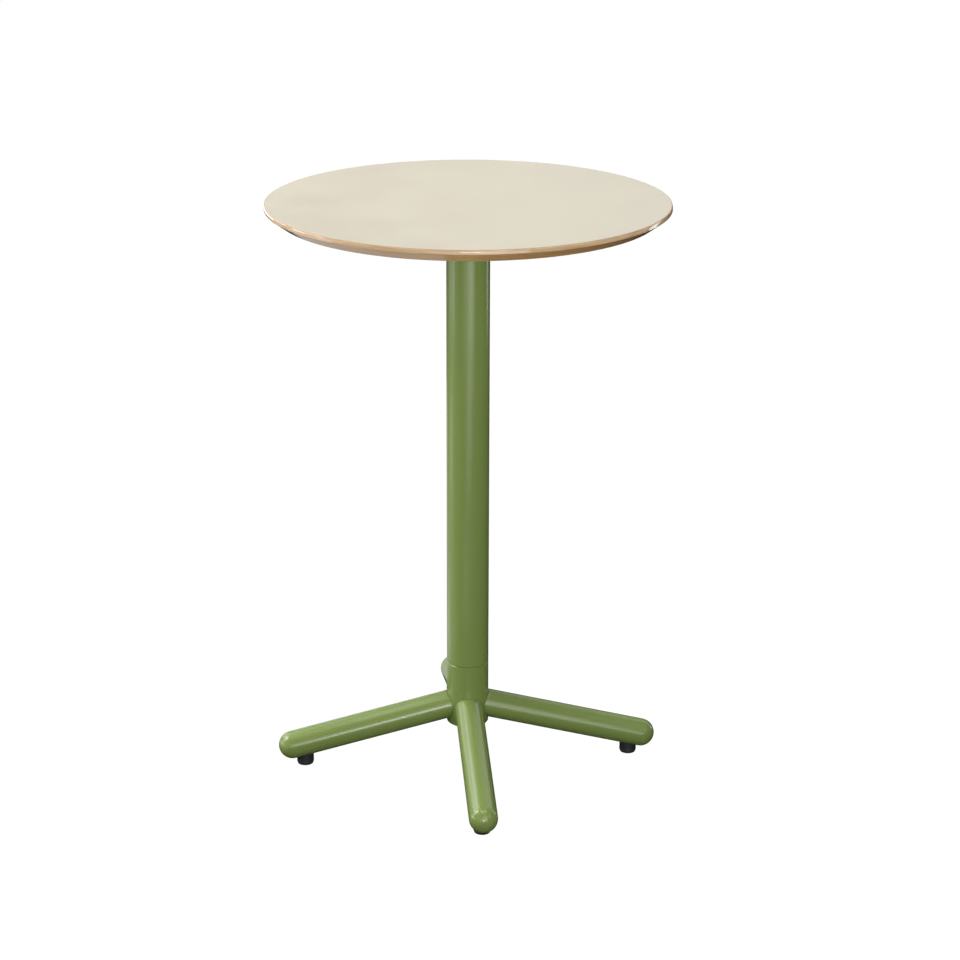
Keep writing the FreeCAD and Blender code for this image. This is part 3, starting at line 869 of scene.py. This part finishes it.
# The weld where a leg meets the hub, dressed down into the crease: it follows the cope, one side up the
# leg's rounded end, the other over the hub, square to the line and level with the hub's surface.
def makeLegWeld(side):
    angles = ringAngles(8 * legLook["columns"])
    radius = legRadius - legLook["endEdge"]
    line = legSurface(np.stack([copeOf(angles, radius), angles], axis=-1), radius)
    alongLeg = np.array([math.cos(legLook["slope"]), 0, -math.sin(legLook["slope"])])
    tangent = unit(np.roll(line, -1, axis=0) - np.roll(line, 1, axis=0))
    fromHub = unit(line * [1, 1, 0])
    ring = np.stack([legRun + 0 * angles, angles], axis=-1)
    fromAxis = unit(legSurface(ring, 1.0) - legSurface(ring, 0.0))
    overHub = unit(np.cross(tangent, fromHub))
    overHub = overHub * np.sign((overHub * fromAxis).sum(axis=1, keepdims=True))
    upLeg = np.broadcast_to(alongLeg, line.shape)
    bead = [weldBead(line, upLeg, overHub, legLook["weld"])]
    makePiece(side + "LegWeld", turnShells(bead, legAzimuths[side]), coat, crease=60)


socketLook = {
    "columns": 96,
    "wall": 1.2 * mm,
    "rimEdge": 0.5 * mm,
    "rimRows": 6,
    "rimDepth": 1.2 * mm,        # how far in the bore still follows the leg's underside
    "corner": 0.3 * mm,
    "tapRadius": 4.05 * mm,
    "tapChamfer": 0.5 * mm,
    "boss": 12 * mm,             # thickness of the tapped boss
}


# The cup welded in the leg for a foot. Its rim follows the leg's underside: a row's height is either
# its own, or the leg's height above that place on the floor plus its own.
def makeSocket(side):
    look = socketLook
    bore, tap = socketRadius - look["wall"], look["tapRadius"]
    top = high(side + "_foot_socket").z
    ceiling = top - look["boss"]
    arc = np.linspace(0, math.pi / 2, look["rimRows"])
    rows = [(socketRadius, 0, 1)]
    rows += [(bore + look["rimEdge"] * (1 - math.sin(turn)), look["rimEdge"] * (1 - math.cos(turn)), 1)
             for turn in arc]
    rows += [(bore, look["rimDepth"], 1), (bore, ceiling - look["corner"], 0), (bore, ceiling, 0),
             (bore - look["corner"], ceiling, 0), (tap + look["tapChamfer"], ceiling, 0),
             (tap, ceiling + look["tapChamfer"], 0), (tap, top, 0), (socketRadius, top, 0)]
    across, up, follows = (np.array(column)[:, None] for column in zip(*rows))
    angles = ringAngles(look["columns"])
    x = footReach + across * np.cos(angles)
    y = across * np.sin(angles)
    underside = legSurface(underLeg(x, y, legRadius), legRadius)[..., 2]
    points = np.stack([x, y, follows * underside + up], axis=-1)
    makePiece(side + "FootSocket", turnShells([shell(points, wrapRows=True)], legAzimuths[side]),
              coat, [side + "_foot_socket"])


for side in legAzimuths:
    makeLeg(side)
    makeLegWeld(side)
    makeSocket(side)
print("legs made")


# Levelling feet

footLook = {
    "knobColumns": 192,
    "knobEdge": 1.0 * mm,
    "innerEdge": 0.1 * mm,
    "flutes": 24,
    "fluteDepth": 0.35 * mm,
    "fluteSpan": (2.5 * mm, 11 * mm),    # above the knob's lower end
    "fluteRows": 14,
    "pivotRadius": 5.08 * mm,
    "pivotDepth": 1.8 * mm,
    "studColumns": 48,
    "studRadius": 4 * mm,
    "studFloor": 5 * mm,
    "studTip": 1 * mm,
    "pitch": 1.25 * mm,          # coarse thread of an M8 stud
    "threadDepth": 0.7 * mm,
    "threadFlank": 1.25,         # steepness of its sides; what would go deeper is cut off flat
    "threadStart": (0.5 * mm, 1 * mm),   # above the knob: first row, and where the thread begins
    "threadRows": 130,
    "soleColumns": 96,
    "soleThickness": 3 * mm,
    "soleEdge": 0.8 * mm,
    "pegRadius": 5 * mm,
    "pegEdge": 0.3 * mm,
    "grooves": (5 * mm, 8 * mm, 11 * mm),
    "grooveDepth": 0.5 * mm,
    "grooveBottom": 0.15 * mm,
}


def footPlace(side):
    turn = math.radians(legAzimuths[side])
    return footReach * math.cos(turn), footReach * math.sin(turn)


# The knob, turned from its outline; between two heights its radius sinks by a raised cosine of the
# angle, faded in and out, which makes the shallow finger flutes.
def makeKnob(side):
    look = footLook
    base, top = rise(side + "_foot_knob")
    radius, edge = halfWidth(side + "_foot_knob"), look["innerEdge"]
    start, end = (base + height for height in look["fluteSpan"])
    heights = np.linspace(start, end, look["fluteRows"])
    fluted = np.stack([np.full(len(heights), radius), heights], axis=-1)
    outline = softOutline([
        (0, base + look["pivotDepth"], 0),
        (look["pivotRadius"], base + look["pivotDepth"], edge),
        (look["pivotRadius"], base, edge),
        (radius, base, look["knobEdge"]),
        (radius, top, look["knobEdge"]),
        (look["studRadius"], top, edge),
        (look["studRadius"], base + look["studFloor"], edge),
        (0, base + look["studFloor"], 0),
    ], closed=False, support=0.1 * mm)
    sideStart = radius - 0.001 * mm      # what lies farther out is the knob's upright side
    split = int(np.argmax(outline[:, 0] > sideStart)) + 2    # past the lower rounding's last two points
    outline = np.concatenate([outline[:split], fluted, outline[split:]])
    fade = np.clip((outline[:, 1] - start) / (end - start), 0, 1)
    fade = np.where(outline[:, 0] > sideStart, np.sin(fade * math.pi) ** 0.5, 0)[:, None]
    angles = ringAngles(look["knobColumns"])
    sink = look["fluteDepth"] * fade * (0.5 - 0.5 * np.cos(look["flutes"] * angles))
    scale = 1 - sink / radius
    points = turned(outline, look["knobColumns"]) * np.stack([scale, scale, 1 + 0 * scale], axis=-1)
    makePiece(side + "Knob", [shell(points + [*footPlace(side), 0])], nylon, [side + "_foot_knob"],
              side + "_foot")


# The stud: below the knob's top a plain bar, above it a thread whose radius is a triangle wave of
# height / pitch minus the share of a turn.
def makeStud(side):
    look = footLook
    base, top = rise(side + "_foot_stud")
    knobTop = high(side + "_foot_knob").z
    angles = ringAngles(look["studColumns"])
    plainEnd, threadFoot = (knobTop + height for height in look["threadStart"])
    heights = np.linspace(plainEnd, top - look["studTip"], look["threadRows"])
    heights = np.concatenate([[base, knobTop], heights, [top]])
    phase = (heights[:, None] / look["pitch"] - angles / fullTurn) % 1
    wave = np.clip(np.abs(2 * phase - 1) * look["threadFlank"], 0, 1)
    threaded = (heights > threadFoot)[:, None]
    radius = look["studRadius"] - look["threadDepth"] * wave * threaded
    radius[-1] = look["studRadius"] - look["studTip"]
    radius = np.concatenate([0 * radius[:1], radius, 0 * radius[:1]])
    heights = np.concatenate([heights[:1], heights, heights[-1:]])
    centre = footPlace(side)
    points = np.stack([
        centre[0] + radius * np.cos(angles), centre[1] + radius * np.sin(angles),
        heights[:, None] + 0 * radius], axis=-1)
    makePiece(side + "Stud", [shell(points)], zinc, [side + "_foot_stud"], side + "_foot")


# The sole: a thin pad with three ring grooves underneath and the pivot peg on top.
def makeSole(side):
    look = footLook
    base, top = rise(side + "_foot_sole")
    radius, edge, depth = halfWidth(side + "_foot_sole"), look["innerEdge"], look["grooveDepth"]
    shoulder = base + look["soleThickness"]
    grooves = [corner for ring in look["grooves"] for corner in (
        (ring - depth, base, edge), (ring, base + depth, look["grooveBottom"]), (ring + depth, base, edge))]
    outline = softOutline([
        (0, base, 0),
        *grooves,
        (radius, base, look["soleEdge"]),
        (radius, shoulder, look["pegEdge"]),
        (look["pegRadius"], shoulder, edge),
        (look["pegRadius"], top, look["pegEdge"]),
        (0, top, 0),
    ], closed=False, support=0.05 * mm)
    makePiece(side + "Sole", [shell(turned(outline, look["soleColumns"], footPlace(side)))], rubber,
              [side + "_foot_sole"], side + "_sole")


for side in legAzimuths:
    makeKnob(side)
    makeStud(side)
    makeSole(side)
print("feet made")


# Pieces inside, which keep their own meshes

innerLook = {
    "column_foot_disc": coat,
    "hub_spigot": coat,
    "hub_plate": coat,
    "top_inserts": zinc,
    "clamp_bolt": zinc,
    "clamp_washer": zinc,
}
for node, (_, material) in innerLook.items():
    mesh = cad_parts[node].data
    mesh.materials.clear()
    mesh.materials.append(material)
print("inner pieces finished")


# Camera, floor and lights

cameraLook = {
    "distance": 4.057614,        # from the column's centre line, level
    "height": 1.963708,
    "azimuth": -94.927,          # where the camera stands about the table
    "yaw": 0.305,
    "pitch": 19.29,
    "roll": 0.186,
    "focalPixels": 2410.157,
    "imagePixels": 960,
    "sensor": 36.0,
}


def bearing(azimuth):  # the level direction of an angle about the table
    return Vector((math.cos(math.radians(azimuth)), math.sin(math.radians(azimuth)), 0))


def placeCamera():
    look = cameraLook
    eye = bearing(look["azimuth"]) * look["distance"] + Vector((0, 0, look["height"]))
    pitch = math.radians(look["pitch"])
    level = bearing(look["azimuth"] + 180 - look["yaw"])
    forward = level * math.cos(pitch) - Vector((0, 0, math.sin(pitch)))
    right = forward.cross(Vector((0, 0, 1))).normalized()
    right.rotate(Matrix.Rotation(-math.radians(look["roll"]), 3, forward))
    up = right.cross(forward)
    data = bpy.data.cameras.new("view")
    data.sensor_fit = "HORIZONTAL"
    data.sensor_width = look["sensor"]
    data.lens = look["focalPixels"] / look["imagePixels"] * look["sensor"]
    camera = bpy.data.objects.new("view", data)
    camera.matrix_world = Matrix.Translation(eye) @ Matrix((right, up, -forward)).transposed().to_4x4()
    bpy.context.scene.collection.objects.link(camera)
    bpy.context.scene.camera = camera


floorLook = {"halfSize": 60.0, "opal": "#3A3A39", "speck": "#343433", "mottle": 1 / 3, "glow": 1.0}


# Pale seamless floor: opal acrylic lit evenly from beneath, so that it stays white far away.
# It throws no light back at the table; the floor lamps below stand for that.
def makeFloor():
    look = floorLook
    material, tree, place = startMaterial("lit_opal_acrylic_floor")
    finishSurface(tree, {
        "Base Color": blend(tree, noise(tree, place, look["mottle"], 2.0), look["speck"], look["opal"]),
        "Roughness": 0.9, "Specular IOR Level": 0.0,
        "Emission Color": paint("#FFFFFF"), "Emission Strength": look["glow"]})
    reach = look["halfSize"]
    mesh = bpy.data.meshes.new("floor")
    mesh.from_pydata([(-reach, -reach, 0), (reach, -reach, 0), (reach, reach, 0), (-reach, reach, 0)],
                     [], [(0, 1, 2, 3)])
    mesh.materials.append(material)
    floor = bpy.data.objects.new("floor", mesh)
    floor.visible_glossy = False
    floor.visible_diffuse = False
    floor.visible_shadow = False
    bpy.context.scene.collection.objects.link(floor)


# Soft boxes: azimuth from the camera, level distance from the column, height of the middle, width,
# height of the box, height it is aimed at on the column's centre line, brightness.
lamps = {
    "leftHigh": (-97.0, 3.6, 4.0, 1.1, 1.1, 0.1, 8.0),
    "leftTop": (-95.0, 3.0, 3.0, 2.0, 2.0, 0.5, 4.99),
    "leftFar": (-104.0, 8.0, 0.7, 1.6, 1.4, 0.7, 4.0),
    "leftWall": (-95.0, 3.0, 1.6, 1.5, 1.4, 0.8, 2.63),
    "leftKnee": (-82.0, 3.0, 0.65, 0.66, 0.5, 0.65, 2.31),
    "leftKneeBack": (-101.5, 3.0, 0.65, 1.33, 0.5, 0.65, 0.72),
    "leftFoot": (-82.0, 3.0, 0.2, 0.66, 0.4, 0.2, 3.63),
    "leftFootBack": (-101.5, 3.0, 0.2, 1.33, 0.4, 0.2, 1.76),
    "leftFrontLow": (-65.0, 3.0, 0.5, 1.2, 0.9, 0.5, 0.846),
    "leftFront": (-45.0, 3.0, 1.3, 1.2, 2.0, 0.8, 0.361),
    "frontLeft": (-27.0, 2.8, 1.0, 0.65, 1.0, 1.0, 0.785),
    "frontLeftLow": (-27.0, 2.8, 0.25, 0.65, 0.5, 0.25, 0.557),
    "frontLeftMiddle": (-14.0, 2.8, 0.8, 0.65, 1.0, 0.8, 1.5),
    "frontLeftMiddleLow": (-14.0, 2.8, 0.15, 0.65, 0.3, 0.15, 0.94),
    "frontFar": (1.0, 5.0, 0.84, 1.0, 0.8, 0.84, 14.0),
    "frontMiddle": (-1.0, 2.8, 0.9, 0.65, 1.8, 0.9, 1.7),
    "frontRight": (12.0, 2.8, 0.9, 0.65, 1.8, 0.9, 3.49),
    "frontRightWide": (25.0, 2.8, 0.9, 0.65, 1.8, 0.9, 2.91),
    "frontHigh": (14.0, 2.8, 2.4, 1.9, 1.2, 2.4, 0.963),
    "rightNear": (70.0, 0.9, 1.0, 0.4, 0.4, 1.0, 0.645),
    "rightMid": (100.0, 0.9, 1.0, 0.4, 0.4, 1.0, 0.304),
    "rightFront": (55.0, 3.0, 1.8, 1.5, 1.4, 0.8, 1.15),
    "rimLow": (121.0, 3.0, 0.15, 0.62, 0.3, 0.15, 2.18),
    "rimMiddle": (119.5, 3.0, 0.56, 0.47, 0.5, 0.56, 4.0),
    "rimHigh": (121.0, 3.0, 1.6, 0.6, 1.5, 1.6, 1.91),
    "rightBack": (142.0, 3.2, 2.6, 0.82, 3.2, 2.6, 1.18),
    "backMiddle": (168.0, 3.2, 1.6, 1.65, 1.2, 1.6, 0.708),
    "backHigh": (168.0, 3.2, 3.3, 1.65, 2.0, 3.3, 0.949),
    "backLeftLow": (-152.0, 3.2, 0.7, 2.4, 0.6, 0.7, 2.52),
    "backLeftMiddle": (-137.0, 3.2, 1.6, 0.82, 1.2, 1.6, 1.22),
    "backLeftHigh": (-144.0, 3.2, 3.3, 1.65, 2.0, 3.3, 1.45),
    "leftBackMiddle": (-122.0, 3.2, 1.6, 0.82, 1.2, 1.6, 3.74),
    "leftBackHigh": (-125.0, 3.2, 3.4, 1.6, 2.4, 3.3, 3.07),
    "overFront": (0.0, 2.0, 3.8, 1.2, 1.2, 0.2, 1.14),
    "overhead": (0.0, 0.001, 4.0, 3.0, 3.0, 0.0, 3.19),
    "leftBackLow": (-123.0, 3.0, 0.25, 1.0, 0.5, 0.25, 0.416),
}
# Patches of floor that catch the studio light: azimuth, distance, width across, depth, brightness.
floorGlow = {
    "backLeftPatch": (-150.0, 1.35, 1.0, 2.0, 0.503),
    "leftPatch": (-100.0, 0.9, 0.9, 0.9, 0.535),
    "leftFarPatch": (-100.0, 1.9, 0.9, 0.9, 1.2),
    "frontPatch": (6.0, 2.1, 1.0, 1.0, 1.36),
    "frontNearPatch": (-8.0, 1.0, 0.6, 0.6, 0.567),
}
patchLift = 2 * mm               # above the floor


def hangLamp(name, width, height, brightness, matrix):
    data = bpy.data.lights.new(name, "AREA")
    data.shape = "RECTANGLE"
    data.size = width
    data.size_y = height
    data.energy = brightness * width * height * math.pi
    lamp = bpy.data.objects.new(name, data)
    lamp.matrix_world = matrix
    lamp.visible_camera = False
    bpy.context.scene.collection.objects.link(lamp)


def lightStudio():
    for name, (azimuth, distance, height, width, tall, aim, brightness) in lamps.items():
        place = bearing(cameraLook["azimuth"] + azimuth) * distance + Vector((0, 0, height))
        turn = (place - Vector((0, 0, aim))).to_track_quat("Z", "Y").to_matrix().to_4x4()
        hangLamp(name, width, tall, brightness, Matrix.Translation(place) @ turn)
    faceUp = Matrix.Rotation(math.pi, 4, "X")
    for name, (azimuth, distance, width, depth, brightness) in floorGlow.items():
        heading = cameraLook["azimuth"] + azimuth
        place = bearing(heading) * distance + Vector((0, 0, patchLift))
        turn = Matrix.Rotation(math.radians(heading - 90), 4, "Z") @ faceUp
        hangLamp(name, width, depth, brightness, Matrix.Translation(place) @ turn)


worldLook = {"fill": "#FFFFFF", "strength": 1.0}


# White beyond the floor's horizon. It throws no light on the table: that comes from the soft boxes.
def lightWorld():
    world = bpy.data.worlds.new("studio")
    world.use_nodes = True
    tree = world.node_tree
    tree.nodes.clear()
    fill = addNode(tree, "ShaderNodeBackground", {
        "Color": paint(worldLook["fill"]), "Strength": worldLook["strength"]})
    addNode(tree, "ShaderNodeOutputWorld", {"Surface": fill.outputs["Background"]})
    bpy.context.scene.world = world
    world.cycles_visibility.diffuse = False
    world.cycles_visibility.glossy = False


placeCamera()
makeFloor()
lightStudio()
lightWorld()
bpy.context.scene.view_settings.view_transform = "Standard"
print("camera, floor and lights placed")
